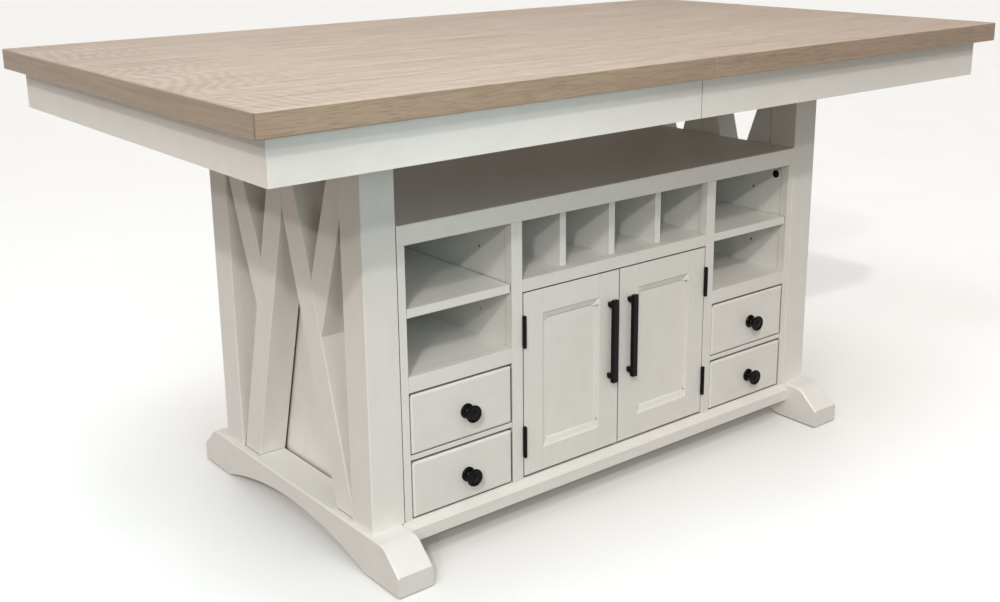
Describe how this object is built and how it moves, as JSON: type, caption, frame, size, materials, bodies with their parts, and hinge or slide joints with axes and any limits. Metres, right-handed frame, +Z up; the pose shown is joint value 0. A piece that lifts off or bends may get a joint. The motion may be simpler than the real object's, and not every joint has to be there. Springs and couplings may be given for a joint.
{
  "type": "kitchen island",
  "caption": "Trestle-ended kitchen island with an extending two-part wood top over open bays, cubbies, drawers and a pair of doors.",
  "frame": {"origin": "floor point under the middle of the closed worktop", "axes": "+X along the worktop, +Y from the drawer side to the back, +Z up"},
  "size_m": [1.828, 1.041, 0.914],
  "materials": {
    "painted_wood": "satin warm white paint",
    "oak": "satin clear lacquer over greyed oak veneer",
    "bare_wood": "sanded, unpainted",
    "black_metal": "matte black",
    "steel": "zinc plated",
    "grey_plastic": "moulded"
  },
  "bodies": {
    "base": {"left_foot_beam": "painted_wood", "right_foot_beam": "painted_wood", "left_front_post": "painted_wood", "left_back_post": "painted_wood", "right_front_post": "painted_wood", "right_back_post": "painted_wood", "left_long_braces": "painted_wood", "left_short_braces": "painted_wood", "right_long_braces": "painted_wood", "right_short_braces": "painted_wood", "trestle_top_rails": "painted_wood", "floor_glides": "grey_plastic", "cabinet_ends": "painted_wood", "partitions": "painted_wood", "cabinet_floor": "painted_wood", "bay_floors": "painted_wood", "cubby_floor": "painted_wood", "cubby_dividers": "painted_wood", "open_shelf": "painted_wood", "back_panel": "painted_wood", "back_frame": "painted_wood", "face_frame_stiles": "painted_wood", "face_frame_rails": "painted_wood", "base_mouldings": "painted_wood", "adjustable_shelves": "painted_wood", "shelf_supports": "steel", "cabinet_bolts": "black_metal", "drawer_runners": "bare_wood", "hinge_frame_leaves": "black_metal", "door_catches": "grey_plastic", "fixed_slides": "bare_wood", "gear_bridge": "bare_wood"},
    "left_half": {"left_top": "oak", "left_apron": "painted_wood", "left_slides": "bare_wood", "left_rack": "steel", "alignment_dowels": "bare_wood"},
    "right_half": {"right_top": "oak", "right_apron": "painted_wood", "right_slides": "bare_wood", "right_rack": "steel"},
    "pinion": {"equaliser_pinion": "steel"},
    "left_upper_drawer": {"left_upper_drawer_front": "painted_wood", "left_upper_drawer_box": "bare_wood", "left_upper_knob": "black_metal"},
    "left_lower_drawer": {"left_lower_drawer_front": "painted_wood", "left_lower_drawer_box": "bare_wood", "left_lower_knob": "black_metal"},
    "right_upper_drawer": {"right_upper_drawer_front": "painted_wood", "right_upper_drawer_box": "bare_wood", "right_upper_knob": "black_metal"},
    "right_lower_drawer": {"right_lower_drawer_front": "painted_wood", "right_lower_drawer_box": "bare_wood", "right_lower_knob": "black_metal"},
    "left_door_leaf": {"left_door": "painted_wood", "left_door_hinge_leaves": "black_metal", "left_pull": "black_metal"},
    "right_door_leaf": {"right_door": "painted_wood", "right_door_hinge_leaves": "black_metal", "right_pull": "black_metal"}
  },
  "joints": [
    {"name": "left_half_slide", "type": "slide", "parent": "base", "child": "left_half", "axis": [-1, 0, 0], "range_m": [0, 0.229]},
    {"name": "right_half_slide", "type": "slide", "parent": "base", "child": "right_half", "axis": [1, 0, 0], "range_m": [0, 0.229]},
    {"name": "pinion_turn", "type": "hinge", "parent": "base", "child": "pinion", "pos_m": [0, 0, 0.852], "axis": [0, 0, 1], "range_deg": [0, 546.9]},
    {"name": "left_upper_drawer_slide", "type": "slide", "parent": "base", "child": "left_upper_drawer", "axis": [0, -1, 0], "range_m": [0, 0.36]},
    {"name": "left_lower_drawer_slide", "type": "slide", "parent": "base", "child": "left_lower_drawer", "axis": [0, -1, 0], "range_m": [0, 0.36]},
    {"name": "right_upper_drawer_slide", "type": "slide", "parent": "base", "child": "right_upper_drawer", "axis": [0, -1, 0], "range_m": [0, 0.36]},
    {"name": "right_lower_drawer_slide", "type": "slide", "parent": "base", "child": "right_lower_drawer", "axis": [0, -1, 0], "range_m": [0, 0.36]},
    {"name": "left_door_hinge", "type": "hinge", "parent": "base", "child": "left_door_leaf", "pos_m": [-0.2528, -0.2882, 0.278], "axis": [0, 0, -1], "range_deg": [0, 90]},
    {"name": "right_door_hinge", "type": "hinge", "parent": "base", "child": "right_door_leaf", "pos_m": [0.2528, -0.2882, 0.278], "axis": [0, 0, 1], "range_deg": [0, 90]}
  ],
  "couplings": [
    {"joint": "right_half_slide", "follows": "left_half_slide", "ratio": 1},
    {"joint": "pinion_turn", "follows": "left_half_slide", "rad_per_m": 41.667}
  ]
}
